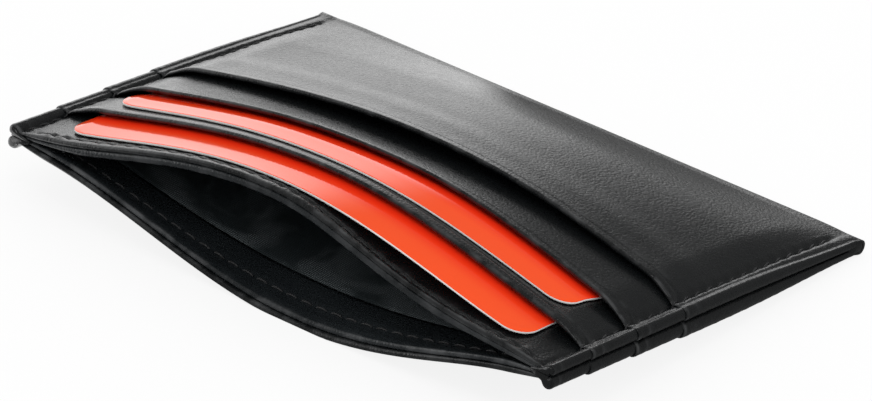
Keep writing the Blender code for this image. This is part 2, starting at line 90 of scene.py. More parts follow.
FACING_RAMP = 0.0014
FACING_ROOM_SHARE = 0.35
LINING_TO_FOLD = 0.0050
BACKING_PAST_CARD = 0.0016
FADE_LENGTH = 0.0036
CARD_FADE_LENGTH = 0.0040
TAIL_FADE = 0.0060
BACK_RISE = 0.0034
BACK_FLARE = 0.0050
DEPTH_POWER = 2.4
ACROSS_POWER = 1.25
MOUTH_POWER = 0.75
SHAPE_REACH = 0.0090
DROOP_PLACE = 0.0205
DROOP_WIDTH = 0.0226
DROOP_REACH = 0.0080
DIP_HOLD = 0.0030
DIP_REACH = 0.0240
SKEW = 0.0024
SKEW_ACROSS_POWER = 1.5
SKEW_ALONG_POWER = 0.6
LIP_PRESS = 0.00015
LIP_PRESS_WIDTH = 0.0030
SEAM_END = 0.0014
SEAM_TO_FOLD = 0.0042
LIP_SEAM_REACH = 0.0457
FACING_SEAM_REACH = 0.0416

PARTING = PARTING_GAP / 2
HALF_WIDTH = WALLET_WIDTH / 2
SEAM_X = HALF_WIDTH - SEAM_INSET
HIDDEN_X = HALF_WIDTH - HIDDEN_INSET
ROOM_X = CARD_WIDTH / 2 + SIDE_MARGIN
FOLD_CENTRE = WALLET_HEIGHT - FOLD_INNER_RADIUS - LEATHER
FOLD_BEAD = (FOLD_INNER_RADIUS + SIDE_LEATHER - PARTING) / 2
STRIP_ENDS = tuple(edge + STRIP_TAIL for edge in POCKET_EDGES[1:])
LINING_END = WALLET_HEIGHT - LINING_TO_FOLD
CARD_ENDS = tuple(setback + CARD_DEPTH for setback in CARD_SETBACKS)
BACKING_ENDS = tuple(end + BACKING_PAST_CARD for end in CARD_ENDS)

# What differs between the two halves
FRONT = {
    "name": "front",
    "sign": 1,
    "rise": 0.0074,
    "flare": 0.0009,
    "reach": 0.0050,
    "lean_share": 0.07,
    "droop": 0.0013,
    "sag": 0.0010,
    "dip": 0.0012,
    "beads": (0.00080, 0.00088, 0.00096, 0.00104),
    "lip_seam": 0.0017,
    "facing": 0.0002,
    "facing_swell": 0.00060,
    "cards": 1.0,
    "wave": 0.00009,
}
BACK = {
    "name": "back",
    "sign": -1,
    "rise": BACK_RISE,
    "flare": BACK_FLARE,
    "reach": 0.0160,
    "lean_share": -0.10,
    "droop": 0.0,
    "sag": 0.0,
    "dip": 0.0,
    "beads": (0.00100, 0.00112, 0.00124, 0.00134),
    "lip_seam": 0.0040,
    "facing": 0.0005,
    "facing_swell": 0.00022,
    "cards": 0.0,
    "wave": 0.0,
}

# Finer shapes of the dressed piece
SAG_PLACE = 0.0240
SAG_WIDTH = 0.0230
SAG_REACH = 0.0038
FACING_OVERLAP = 0.0010
UNDER_FACING = 0.00020
STITCH_PITCH = 0.0027
MIDDLE_PITCH = 0.0011
SIDE_PITCH = 0.00045
FINE_FROM = 0.0400
ROW_PITCH = 0.0009
EDGE_PITCH = 0.00022
EDGE_ZONE = 0.0030
EDGE_LIFT = 0.00025
EDGE_LIFT_REACH = 0.0060
NOSE_ROWS = 5
CREASE_PLACE = 0.0021
CREASE_WIDTH = 0.00028
CREASE_DEPTH = 0.00013
SIDE_SWELL_SHARE = 0.12
ROOM_POWER = 2.0
ROOM_DRAW = 0.0008
SPAN_START = 0.0560
SPAN_LENGTH = 0.0185
SPAN_POWER = 1.5
CARD_BODY = 0.00040
# Painted light band on the card face: full near its lip, fading out towards the pocket edge's
# shade.
CARD_PAINTED_LIGHT_START = 0.0030
CARD_PAINTED_LIGHT_RAMP = 0.0045
BEAD_BACK = math.radians(32)
BEAD_ARC_POINTS = 15
ALLOWANCE_POINTS = 5
SEAM_GROOVE = 0.00020
SEAM_GROOVE_WIDTH = 0.00042
PUFF = 0.00010
PUFF_WIDTH = 0.00085
SIDE_PUCKER = 1.35
LIP_PUCKER = 1.6
HOLE_DEPTH = 0.00020
HOLE_LONG = 0.00060
HOLE_SHORT = 0.00024
THREAD_RADIUS = 0.00017
THREAD_SIDES = 6
THREAD_STEPS = 8
MOUTH_CLOSE = 0.0012
MOUTH_SHARE = 0.80
LINING_CUT_LENGTH = 0.0645
BACKING_CUT_LENGTHS = (0.0291, 0.0287)
PLUG_ROWS = (0.00006, 0.00015, 0.00035, 0.00065, 0.0010, 0.0014, 0.0019, 0.0030)
CORNER_FILL = 0.0020
PLUG_DOME = ((0.00012, 0.94), (0.00028, 0.80), (0.00040, 0.50))
TIP_LENGTH = 0.0030
TIP_RADIUS = FOLD_INNER_RADIUS + SIDE_LEATHER - 0.00003
TIP_SUNK = -0.00008
TIP_FLATNESS = 0.55
TIP_HIDDEN = 0.00070
TIP_RAMP = 0.0018
BEVEL = 0.00007
LIP_FILL = 0.00017
LIP_FILL_FALL = (0.0016, 0.0014)
UNSKEW_STEPS = 12
TABLE_STEPS = 20

# Rows and columns of points
NOSE_START = math.radians(8)
COVERED_PITCH = 0.0020
COVERED_PAST_EDGE = 0.0010
BACKING_PITCHES = (0.0035, 0.0012)
BACKING_ROW_PITCH = 0.0030
LINING_PITCHES = (0.0020, 0.0010)
LINING_ROW_PITCH = 0.0020
FACING_ROWS = ((0.0055, 22), (FACING_END, 6))
OPENING_ROWS = 9
OPENING_GAP = 0.0003
FOLD_ROWS = 16
TIP_ROWS = 8
TIP_SWEEP = math.radians(84)
TIP_ARC_POINTS = 11
TIP_FOOT = 0.6
PLUG_STEP = 0.0004
PLUG_TIP = 0.00004
CARD_COLUMNS = 75
CARD_CORNER_ROWS = 9
CARD_MIDDLE_ROWS = 44

# Waves of the front's leather, whose rise and fall are a start and a length
WAVE_SEED = 7
WAVE_COUNT = 9
WAVE_PITCHES = (70.0, 330.0)
WAVE_RISE = (0.004, 0.020)
WAVE_FALL = (0.060, 0.012)

# Puckers, stitches and beads
PUCKER_FADE = 0.0012
GROOVE_LOSS = 0.55
PUFF_SPREAD = 0.0005
PUFF_LEAST = 0.6
PUFF_VARIETY = 0.8
SCATTER = (12.9898, 43758.5453)
SIDE_HOLE_TURN = math.radians(35)
LIP_HOLE_TURN = math.radians(-70)
SCALLOP = 0.00034
FACING_GROOVE_SHARE = 0.6
STITCH_COVER = 0.80
FACING_STITCH_COVER = 0.74
STITCH_DIVE = 0.00030
STITCH_PROUD = 0.35
SIDE_STITCH_LEAN = 0.0007
LIP_STITCH_LEAN = 0.0005
STITCH_RELIEF_SHARE = 0.5
THREAD_END_SHARE = 0.7
THREAD_FLATNESS = 0.8
LUMP_SIZE = 0.025
LUMP_WAVES = (2600.0, 910.0)
SWEEP_GAIN = 1.2
ALLOWANCE_PUFF = 0.00012
MOUTH_START = 0.0002

# Lines of wear, each a strength, a distance behind the edge and a width
EDGE_WEAR = ((1.0, 0.0003, 0.00028), (0.35, 0.0027, 0.0003))
FACING_WEAR = ((1.0, 0.0006, 0.0004),)
FOLD_WEAR_STRENGTH = 0.35


def smooth(value, start, length):
    """0 up to start, 1 from start + length on, and a soft step between."""
    share = np.clip((value - start) / length, 0.0, 1.0)
    return share * share * (3.0 - 2.0 * share)


def mix(first, second, share):
    return first + (second - first) * share


def bell(value, width):
    return np.exp(-((value / width) ** 2))


def room(x):
    """1 over the cards, falling to 0 at the side seams like leather sewn down over them."""
    start = ROOM_X - ROOM_DRAW
    share = np.clip((np.abs(x) - start) / (SEAM_X - start), 0.0, 1.0)
    return 1.0 - share**ROOM_POWER


def skew_at(x, y):
    """How far the right part of the wallet is drawn towards the mouth, at a place."""
    across = np.clip(x / HALF_WIDTH, 0.0, 1.0) ** SKEW_ACROSS_POWER
    along = np.clip(y / FOLD_CENTRE, 0.0, 1.0) ** SKEW_ALONG_POWER
    return SKEW * across * np.sin(math.pi * along)


def unskewed(x, y):
    """The place along y that skewed() moves to y."""
    along = y
    for _ in range(UNSKEW_STEPS):
        along = y + skew_at(x, along)
    return along


def droop(half, x, y):
    """Hang of the base panel's lip right of the middle, and its sag behind the lip."""
    across = np.clip((x - DROOP_PLACE) / DROOP_WIDTH, -1.0, 1.0)
    hang = half["droop"] * (1.0 - across**2) ** 2 * np.exp(-y / DROOP_REACH)
    across = np.clip((x - SAG_PLACE) / SAG_WIDTH, -1.0, 1.0)
    along = y / SAG_REACH * np.exp(1.0 - y / SAG_REACH)
    return hang + half["sag"] * (1.0 - across**2) ** 2 * along


def dip(half, x, y):
    """Sinking of the layers under the outer leather, round the edge of its pocket."""
    across = np.clip(x / SEAM_X, -1.0, 1.0)
    sink = smooth(y, POCKET_EDGES[2], POCKET_EDGES[3] - POCKET_EDGES[2])
    sink = sink * (1.0 - smooth(y, POCKET_EDGES[3] + DIP_HOLD, DIP_REACH))
    return half["dip"] * (1.0 - across**2) ** 2 * sink


def leather_at(x):
    return mix(SIDE_LEATHER, LEATHER, room(x))


def levels(half, x, y):
    """Height of each layer's inner side above the half's innermost surface."""
    leather = leather_at(x)
    held = room(x) * half["cards"]
    facing = mix(FACING, FABRIC, smooth(y, POCKET_EDGES[1], STRIP_TAIL))
    lining = mix(FABRIC, facing, room(x)) * (1.0 - smooth(y, LINING_END, FADE_LENGTH))
    base = lining + CLEARANCE
    height = lining + (CLEARANCE + leather) * (1.0 - smooth(y, STRIP_ENDS[0], TAIL_FADE))
    height = height + droop(half, x, y)
    card_1 = height + CLEARANCE
    thick = (CLEARANCE + CARD_THICKNESS) * held
    height = height + thick * (1.0 - smooth(y, CARD_ENDS[0], CARD_FADE_LENGTH))
    pocket_1 = height + CLEARANCE
    layer = CLEARANCE + mix(leather, FABRIC, smooth(y, STRIP_ENDS[1], TAIL_FADE))
    height = height + layer * (1.0 - smooth(y, BACKING_ENDS[0], FADE_LENGTH))
    card_2 = height + CLEARANCE
    height = height + thick * (1.0 - smooth(y, CARD_ENDS[1], CARD_FADE_LENGTH))
    pocket_2 = height + CLEARANCE
    layer = CLEARANCE + mix(leather, FABRIC, smooth(y, STRIP_ENDS[2], TAIL_FADE))
    height = height + layer * (1.0 - smooth(y, BACKING_ENDS[1], FADE_LENGTH))
    panel = np.maximum(height + CLEARANCE, FOLD_INNER_RADIUS - PARTING) + dip(half, x, y)
    if np.max(y) > SPAN_START:
        before = levels(half, x, SPAN_START)["panel"]
        share = np.clip((y - SPAN_START) / SPAN_LENGTH, 0.0, 1.0) ** SPAN_POWER
        panel = mix(before, FOLD_INNER_RADIUS - PARTING, share)
    return {
        "lining": 0.0 * leather,
        "base": base,
        "card_1": card_1,
        "pocket_1": pocket_1,
        "card_2": card_2,
        "pocket_2": pocket_2,
        "panel": panel,
    }


def natural_rise(half, x, y):
    """Bow of a half's innermost surface over the parting plane, before the table presses it."""
    depth = 1.0 - np.clip(y / FOLD_CENTRE, 0.0, 1.0) ** DEPTH_POWER
    rise = (half["rise"] + half["flare"] * np.exp(-y / half["reach"])) * depth
    across = np.clip(x / SEAM_X, -1.0, 1.0)
    fading = np.exp(-y / SHAPE_REACH)
    across = across + half["lean_share"] * fading * (1.0 - across**2)
    power = ACROSS_POWER + MOUTH_POWER * fading
    bow = rise * np.clip(1.0 - across**2, 0.0, 1.0) ** power
    return np.maximum(bow - droop(half, x, y) - dip(half, x, y), 0.0)


def lip_top(half, x, y):
    """Height of the base panel's outer side above the half's innermost surface."""
    return levels(half, x, y)["base"] + leather_at(x)


def table_line():
    """Depth of the table under the parting plane at the mouth, and its slope."""
    lip = PARTING + BACK_RISE + BACK_FLARE - LIP_PRESS + float(lip_top(BACK, 0.0, 0.0))
    radius = FOLD_INNER_RADIUS + LEATHER
    slope = 0.0
    for _ in range(TABLE_STEPS):
        slope = (lip - radius * math.sqrt(1.0 + slope * slope)) / FOLD_CENTRE
    return lip, slope


TABLE_DEPTH, TABLE_SLOPE = table_line()


def table_depth(x, y):
    return TABLE_DEPTH - TABLE_SLOPE * (y - skew_at(x, y))


wave_random = np.random.default_rng(WAVE_SEED)
WAVE_RANGES = (WAVE_PITCHES, (-math.pi, math.pi), (-math.pi, math.pi))
WAVES = [[wave_random.uniform(*span) for span in WAVE_RANGES] for _ in range(WAVE_COUNT)]


def wave(half, x, y):
    """Soft waves of the leather between the seams, the mouth and the fold."""
    total = 0.0
    for pitch, heading, phase in WAVES:
        total = total + np.sin(pitch * (x * math.cos(heading) + y * math.sin(heading)) + phase)
    hold = np.clip(1.0 - (x / SEAM_X) ** 2, 0.0, 1.0)
    hold = hold * smooth(y, *WAVE_RISE) * (1.0 - smooth(y, *WAVE_FALL))
    return half["wave"] * total / 2.0 * hold


def inner_surface(half, x, y):
    """Height of a half's innermost surface. The back half gives way to the table."""
    free = natural_rise(half, x, y)
    if half["sign"] > 0:
        return PARTING + free + wave(half, x, y)
    outer = levels(half, x, y)["panel"] + leather_at(x)
    covered = smooth(y, LIP_PRESS_WIDTH, POCKET_EDGES[3] - LIP_PRESS_WIDTH)
    stack = mix(lip_top(half, x, y), outer, covered)
    return PARTING + np.minimum(free, np.maximum(table_depth(x, y) - stack - PARTING, 0.0))


TILT = math.atan(TABLE_SLOPE)
FOLD_REACH = (FOLD_CENTRE + FOLD_INNER_RADIUS + LEATHER) * math.cos(TILT)
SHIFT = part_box("outer_leather")[1].y - FOLD_REACH
LIFT = TABLE_DEPTH * math.cos(TILT)


def place(points):
    """Points of the wallet's own frame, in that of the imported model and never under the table."""
    points = np.asarray(points, float)
    y = points[..., 1] * math.cos(TILT) + points[..., 2] * math.sin(TILT) + SHIFT
    z = -points[..., 1] * math.sin(TILT) + points[..., 2] * math.cos(TILT) + LIFT
    return np.stack([points[..., 0], y, np.maximum(z, 0.0)], axis=-1)


def skewed(points):
    """Points with the wallet's right part drawn towards the mouth."""
    points = np.array(points, float)
    points[..., 1] -= skew_at(points[..., 0], points[..., 1])
    return points


def half_place(half, points):
    """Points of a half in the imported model's frame, skewed, and turned over in the back half."""
    points = skewed(points)
    points[..., 2] *= half["sign"]
    return place(points)


def edge_swell(distance, x):
    """Swelling of a turned edge, with the crease that its fold leaves behind it."""
    swell = EDGE_SWELL * (1.0 - smooth(distance, EDGE_WIDTH, EDGE_RAMP))
    swell = swell - CREASE_DEPTH * bell(distance - CREASE_PLACE, CREASE_WIDTH)
    return swell * mix(SIDE_SWELL_SHARE, 1.0, room(x))


def row_points(x, y, z):
    return np.stack([x, 0.0 * x + y, z], axis=1)


def main_columns(pitch=MIDDLE_PITCH, side=SIDE_PITCH):
    """Places across the wallet between the side seams, closer together near them."""
    middle = np.linspace(0.0, FINE_FROM, max(2, round(FINE_FROM / pitch) + 1))
    outside = np.linspace(FINE_FROM, SEAM_X, max(2, round((SEAM_X - FINE_FROM) / side) + 1))
    right = np.concatenate([middle, outside[1:]])
    return np.concatenate([-right[:0:-1], right])


COLUMNS = main_columns()
LINING_COLUMNS = main_columns(*LINING_PITCHES)
BACKING_COLUMNS = main_columns(*BACKING_PITCHES)


def seam_stitches(start, end):
    """Places of the holes along a seam."""
    count = int((end - start) / STITCH_PITCH)
    return np.linspace(start, end, count + 1)


def pucker(across, along, holes, turn):
    """Leather drawn in along a row of stitches, where across and along measure from the seam."""
    nearest = np.abs(along[..., None] - holes)
    index = nearest.argmin(-1)
    gap = along - holes[index]
    outside = smooth(np.maximum(holes[0] - along, along - holes[-1]), 0.0, PUCKER_FADE)
    wide = across * math.cos(turn) + gap * math.sin(turn)
    length = -across * math.sin(turn) + gap * math.cos(turn)
    hole = HOLE_DEPTH * bell(wide, HOLE_LONG) * bell(length, HOLE_SHORT)
    random = np.sin(index * SCATTER[0]) * SCATTER[1]
    random = random - np.floor(random)
    between = 0.5 - 0.5 * np.cos(2 * math.pi * gap / STITCH_PITCH)
    groove = SEAM_GROOVE * bell(across, SEAM_GROOVE_WIDTH) * (1.0 - GROOVE_LOSS * between)
    puff = PUFF * bell(np.abs(across) - PUFF_WIDTH, PUFF_SPREAD) * between
    puff = puff * (PUFF_LEAST + PUFF_VARIETY * random)
    return (puff - groove - hole) * (1.0 - outside)


SIDE_HOLES = seam_stitches(SEAM_END, FOLD_CENTRE - SEAM_TO_FOLD)
LIP_HOLES = seam_stitches(-LIP_SEAM_REACH, LIP_SEAM_REACH)
FACING_HOLES = seam_stitches(-FACING_SEAM_REACH, FACING_SEAM_REACH)


def side_relief(x, y):
    """Puckering along the side seams."""
    x = np.asarray(x, float)
    y = np.asarray(y, float) + 0.0 * x
    return pucker(np.abs(x) - SEAM_X, y, SIDE_HOLES, SIDE_HOLE_TURN) * SIDE_PUCKER


def scallop(x):
    """Sideways wander of the lip's seam, one bay to each stitch."""
    share = (x - LIP_HOLES[0]) / (LIP_HOLES[1] - LIP_HOLES[0])
    return SCALLOP * (np.abs(np.sin(math.pi * share)) - 0.5)


def lip_relief(half, x, y):
    """Puckering along the lip's seam."""
    x = np.asarray(x, float)
    across = (y - half["lip_seam"]) - scallop(x)
    return pucker(across, x, LIP_HOLES, LIP_HOLE_TURN) * LIP_PUCKER


def bead_of(half, index):
    """Radius of a strip's side bead, and the x of its outermost point."""
    radii = half["beads"]
    step = BEAD_STEP * (len(radii) - 1 - index)
    return radii[index], HALF_WIDTH - step


def side_profile(seam_z, bead, close, y):
    """Outer and inner points (x, z) from the side seam round the bead, on the right."""
    radius, edge_x, sweep = bead
    centre_x = edge_x - radius * math.sin(min(sweep, math.pi / 2))
    centre_z = PARTING + radius
    lump = math.sin(y * LUMP_WAVES[0]) * math.sin(y * LUMP_WAVES[1] + 1.0)
    lump = 1.0 + LUMP_SIZE * lump
    start = -BEAD_BACK * min(1.0, sweep / math.pi * SWEEP_GAIN)
    start_x = centre_x + radius * math.sin(start)
    start_z = centre_z + radius * math.cos(start)
    outer = []
    inner = []
    for index in range(1, ALLOWANCE_POINTS + 1):
        share = index / (ALLOWANCE_POINTS + 1)
        x = mix(SEAM_X, start_x, share)
        z = mix(seam_z, start_z, share)
        z = z + ALLOWANCE_PUFF * math.sin(math.pi * share) * close
        relief = float(side_relief(x, y)) * (1.0 - share)
        outer.append((x, z + relief))
        inner.append((x, z - SIDE_LEATHER))
    for index in range(BEAD_ARC_POINTS):
        angle = mix(start, sweep, index / (BEAD_ARC_POINTS - 1))
        grown = radius * lump * mix(MOUTH_SHARE, 1.0, close)
        small = (radius - SIDE_LEATHER) * mix(MOUTH_SHARE, 1.0, close)
        outer.append((centre_x + grown * math.sin(angle), centre_z + grown * math.cos(angle)))
        inner.append((centre_x + small * math.sin(angle), centre_z + small * math.cos(angle)))
    return np.array(outer), np.array(inner)


SIDE_POINTS = ALLOWANCE_POINTS + BEAD_ARC_POINTS
ROW_POINTS = len(COLUMNS) + 2 * SIDE_POINTS


def leather_row(half, layer, y, start, bead, nose):
    """Outer and inner points of a leather row at y, whose turned edge is at start."""
    level = levels(half, COLUMNS, y)[layer]
    if layer != "base" and half["sign"] > 0:
        level = level + EDGE_LIFT * room(COLUMNS) * (1.0 - smooth(y - start, 0.0, EDGE_LIFT_REACH))
    inner = inner_surface(half, COLUMNS, y) + level
    swell = edge_swell(y - start, COLUMNS)
    relief = side_relief(COLUMNS, y)
    if layer == "base":
        relief = relief + lip_relief(half, COLUMNS, y)
    outer = inner + leather_at(COLUMNS) + swell
    middle = (inner + outer) / 2
    outer = mix(middle, outer, nose) + relief
    inner = mix(middle, inner, nose)
    if half["sign"] < 0:
        outer = np.minimum(outer, table_depth(COLUMNS, y))
    seam_level = float(levels(half, SEAM_X, y)[layer])
    seam_z = float(inner_surface(half, SEAM_X, y)) + seam_level + SIDE_LEATHER + float(swell[-1])
    if bead is None:
        x = SEAM_X + (HIDDEN_X - SEAM_X) * np.arange(1, SIDE_POINTS + 1) / SIDE_POINTS
        side_outer = np.stack([x, 0.0 * x + seam_z], axis=1)
        side_inner = np.stack([x, 0.0 * x + seam_z - SIDE_LEATHER], axis=1)
    else:
        close = mouth_close(y) if start == 0.0 else 1.0
        side_outer, side_inner = side_profile(seam_z, bead, close, y)
        middle = (side_outer + side_inner) / 2
        side_outer = mix(middle, side_outer, nose)
        side_inner = mix(middle, side_inner, nose)
    rows = []
    for main, side in ((outer, side_outer), (inner, side_inner)):
        x = np.concatenate([-side[::-1, 0], COLUMNS, side[:, 0]])
        z = np.concatenate([side[::-1, 1], main, side[:, 1]])
        rows.append(row_points(x, y, z))
    return rows


def nose_rows(radius):
    """Distances behind a turned edge and the share of full thickness there."""
    angles = np.linspace(NOSE_START, math.pi / 2, NOSE_ROWS)
    return [(radius * (1.0 - math.cos(a)), math.sin(a)) for a in angles]


def rim_of(rows, columns):
    """Numbers of a sheet's points round its rim."""
    index = np.arange(rows * columns).reshape(rows, columns)
    return np.concatenate([index[0], index[1:, -1], index[-1, -2::-1], index[-2:0:-1, 0]])


def solid(outer, inner, turned, between=()):
    """Vertices and faces of a closed sheet, with optional rings of points round its rim."""
    rows, columns = outer.shape[:2]
    size = rows * columns
    index = np.arange(size).reshape(rows, columns)
    corners = [index[:-1, :-1], index[:-1, 1:], index[1:, 1:], index[1:, :-1]]
    top = np.stack(corners, axis=-1).reshape(-1, 4)
    under = top[:, ::-1] + size
    rim = rim_of(rows, columns)
    rings = [rim]
    vertices = [outer.reshape(-1, 3), inner.reshape(-1, 3)]
    count = 2 * size
    for ring in between:
        vertices.append(ring)
        rings.append(np.arange(count, count + len(rim)))
        count += len(rim)
    rings.append(rim + size)
    faces = [top, under]
    for first, second in zip(rings, rings[1:]):
        faces.append(np.stack([np.roll(first, -1), first, second, np.roll(second, -1)], axis=-1))
    faces = np.concatenate(faces)
    if turned:
        faces = faces[:, ::-1]
    return np.concatenate(vertices), faces


def half_solid(half, outer, inner):
    return solid(half_place(half, outer), half_place(half, inner), half["sign"] < 0)


def ring_faces(rings, size):
    """Faces between rings of points that follow each other."""
    faces = []
    for row in range(rings - 1):
        for k in range(size):
            a, b = row * size + k, row * size + (k + 1) % size
            faces.append((a, b, b + size, a + size))
    return faces


def ring_solid(rings):
    """Points and faces of a solid through rings of points, with a flat cap at each end."""
    size = len(rings[0])
    points = np.array(rings).reshape(-1, 3)
    faces = ring_faces(len(rings), size)
    faces.append(tuple(range(size))[::-1])
    faces.append(tuple(range(len(points) - size, len(points))))
    return points, faces


def gathered(parts):
    """Vertices and faces of several solids, as those of one piece."""
    faces = []
    count = 0
    for points, own in parts:
        faces += [tuple(count + int(k) for k in face) for face in own]
        count += len(points)
    return np.concatenate([points for points, _ in parts]), faces


def new_piece(node, word, parts, looks, body="wallet", wear_and_painted_light=()):
    """The piece that dresses a node, with a point attribute that holds the leather's wear and a
    card's painted light band. Points beyond those listed have none.
    """
    name = f"{node}_{word}"
    vertices, faces = gathered(parts)
    mesh = bpy.data.meshes.new(name)
    mesh.from_pydata(vertices.tolist(), [], faces)
    for material in looks:
        mesh.materials.append(material)
    mesh.shade_smooth()
    if len(wear_and_painted_light):
        values = np.zeros(len(vertices), np.float32)
        values[: len(wear_and_painted_light)] = wear_and_painted_light
        mesh.attributes.new("wear_and_painted_light", "FLOAT", "POINT").data.foreach_set("value", values)
    item = bpy.data.objects.new(name, mesh)
    bpy.context.scene.collection.objects.link(item)
    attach(item, body)
    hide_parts(node)
    return item


def row_list(start, *zones):
    """Rows behind a turned edge: its rounded nose, its fine zone, then zones (end, pitch)."""
    radius = (LEATHER + EDGE_SWELL) / 2
    rows = [(start + distance, share) for distance, share in nose_rows(radius)]
    for end, pitch in ((start + EDGE_ZONE, EDGE_PITCH), *zones):
        before = rows[-1][0]
        count = max(2, round((end - before) / pitch))
        rows += [(y, 1.0) for y in np.linspace(before, end, count + 1)[1:]]
    return rows


def edge_wear(rows, start, lines=EDGE_WEAR, columns=ROW_POINTS):
    """Wear along a turned edge, for each point of each row."""
    behind = np.array([y for y, _ in rows]) - start
    wear_and_painted_light = sum(strength * bell(behind - at, width) for strength, at, width in lines)
    return np.repeat(wear_and_painted_light[:, None], columns, axis=1)


def mouth_close(y):
    """How far a bead has grown behind its closed end at the mouth, from 0 to 1."""
    inside = max(1.0 - (y + MOUTH_START) / MOUTH_CLOSE, 0.0)
    return math.sqrt(max(1.0 - inside**2, 0.0))


def corner_plugs(half):
    """Solids that fill the beads and the seam's corner behind the mouth, on both sides."""
    plugs = []
    radius, edge_x = bead_of(half, 0)
    fill_x = SEAM_X - CORNER_FILL
    for side in (-1, 1):
        rings = []
        for y in PLUG_ROWS:
            seam_z = float(inner_surface(half, SEAM_X, y)) + SIDE_LEATHER
            seam_z += float(levels(half, SEAM_X, y)["base"])
            outer, inner = side_profile(seam_z, (radius, edge_x, math.pi), mouth_close(y), y)
            middle = (outer + inner) / 2
            ring = [(fill_x, 0.0), (fill_x, float(inner_surface(half, fill_x, y)))]
            ring.append((SEAM_X - PLUG_STEP, seam_z - SIDE_LEATHER / 2))
            ring += [*middle, (middle[-1][0], 0.0)]
            rings.append([(side * x, y, max(z, 0.0)) for x, z in ring])
        first = np.array(rings[0])
        for ahead, share in PLUG_DOME:
            ring = mix(first.mean(axis=0), first, share)
            ring[:, 1] = -ahead
            rings.insert(0, ring)
        size = len(first)
        tip = np.mean(rings[0], axis=0) - np.array([0.0, PLUG_TIP, 0.0])
        points = np.concatenate([np.array(rings).reshape(-1, 3), [tip]])
        last = len(points) - 1
        faces = ring_faces(len(rings), size)
        faces += [(last, (k + 1) % size, k) for k in range(size)]
        faces.append(tuple(range(last - size, last)))
        if side * half["sign"] < 0:
            faces = [face[::-1] for face in faces]
        plugs.append((half_place(half, points), faces))
    return plugs


def add_strip(half, name, layer, index, looks):
    """A leather strip with its turned edge and side beads. The first one closes the corners."""
    start = POCKET_EDGES[index]
    covered = POCKET_EDGES[index + 1] + COVERED_PAST_EDGE
    rows = row_list(start, (covered, ROW_PITCH), (STRIP_ENDS[index], COVERED_PITCH))
    radius, edge_x = bead_of(half, index)
    pairs = []
    for y, nose in rows:
        bead = (radius, edge_x, math.pi) if y <= covered else None
        pairs.append(leather_row(half, layer, y, start, bead, nose))
    parts = [half_solid(half, *zip(*pairs))]
    if index == 0:
        parts += corner_plugs(half)
    wear_and_painted_light = np.tile(edge_wear(rows, start).ravel(), 2)
    return new_piece(f"{half['name']}_{name}", "leather", parts, looks, wear_and_painted_light=wear_and_painted_light)


def panel_side(half):
    """Rows of the outer leather in one half, and their outer and inner points."""
    start = POCKET_EDGES[3]
    opening = FOLD_CENTRE - BEAD_OPENING
    radius, edge_x = bead_of(half, 3)
    rows = row_list(start, (FOLD_CENTRE, ROW_PITCH))
    rows = [row for row in rows if row[0] < opening - OPENING_GAP]
    rows += [(y, 1.0) for y in np.linspace(opening, FOLD_CENTRE, OPENING_ROWS)]
    pairs = []
    for y, nose in rows:
        shrink = float(smooth(y, start, FOLD_CENTRE - start)) ** 2
        opened = float(smooth(y, opening, BEAD_OPENING))
        bead = (mix(radius, FOLD_BEAD, shrink), edge_x, mix(math.pi, OPEN_SWEEP, opened))
        pairs.append(leather_row(half, "panel", y, start, bead, nose))
    outer, inner = zip(*pairs)
    return rows, np.array(outer), np.array(inner)


def fold_plugs():
    """Solids that close the ends of the fold between the two halves' beads."""
    plugs = []
    _, edge_x = bead_of(FRONT, 3)
    before = np.linspace(FOLD_CENTRE - TIP_LENGTH, FOLD_CENTRE, TIP_ROWS)[:-1]
    after = FOLD_CENTRE + TIP_RADIUS * np.sin(np.linspace(0.0, TIP_SWEEP, TIP_ROWS))
    for side in (-1, 1):
        rings = []
        for y in np.concatenate([before, after]):
            past = max(y - FOLD_CENTRE, 0.0)
            tall = math.sqrt(TIP_RADIUS**2 - past**2)
            sunk = TIP_SUNK + (TIP_RADIUS - tall)
            sunk += TIP_HIDDEN * (1.0 - float(smooth(y, FOLD_CENTRE - TIP_LENGTH, TIP_RAMP)))
            ring = [(SEAM_X, -TIP_FOOT * tall), (SEAM_X, TIP_FOOT * tall)]
            for angle in np.linspace(math.pi / 2, -math.pi / 2, TIP_ARC_POINTS):
                x = edge_x - sunk - TIP_FLATNESS * tall * (1.0 - math.cos(angle))
                ring.append((x, tall * math.sin(angle)))
            rings.append([(side * x, y, z) for x, z in ring])
        points, faces = ring_solid(rings)
        if side > 0:
            faces = [face[::-1] for face in faces]
        plugs.append((place(skewed(points)), faces))
    return plugs


def add_panel(looks):
    """The outer leather: front panel, fold and back panel in one piece."""
    front_rows, *front_sides = panel_side(FRONT)
    back_rows, *back_sides = panel_side(BACK)
    sides = []
    for front, back, thickness in zip(front_sides, back_sides, (1.0, 0.0)):
        x = front[-1][:, 0]
        radius = FOLD_INNER_RADIUS + leather_at(x) * thickness
        turns = []
        for angle in np.linspace(math.pi / 2, -math.pi / 2, FOLD_ROWS)[1:-1]:
            y = FOLD_CENTRE + radius * math.cos(angle)
            turns.append(row_points(x, y, radius * math.sin(angle)))
        ends = half_place(FRONT, front), half_place(BACK, back)[::-1]
        sides.append(np.concatenate([ends[0], place(skewed(turns)), ends[1]]))
    fold_wear = np.full((FOLD_ROWS - 2, ROW_POINTS), FOLD_WEAR_STRENGTH)
    start = POCKET_EDGES[3]
    wear_and_painted_light = [edge_wear(front_rows, start), fold_wear, edge_wear(back_rows, start)[::-1]]
    wear_and_painted_light = np.tile(np.concatenate(wear_and_painted_light).ravel(), 2)
    parts = [solid(*sides, False), *fold_plugs()]
    return new_piece("outer_leather", "shell", parts, looks, wear_and_painted_light=wear_and_painted_light)


def facing_swell(half, x, y):
    """Swelling of the facing's folded edge towards the parting plane."""
    swell = half["facing_swell"] * (1.0 - smooth(y - FACING_START, FACING_EDGE, FACING_RAMP))
    return np.minimum(swell, FACING_ROOM_SHARE * (inner_surface(half, x, y) - PARTING))


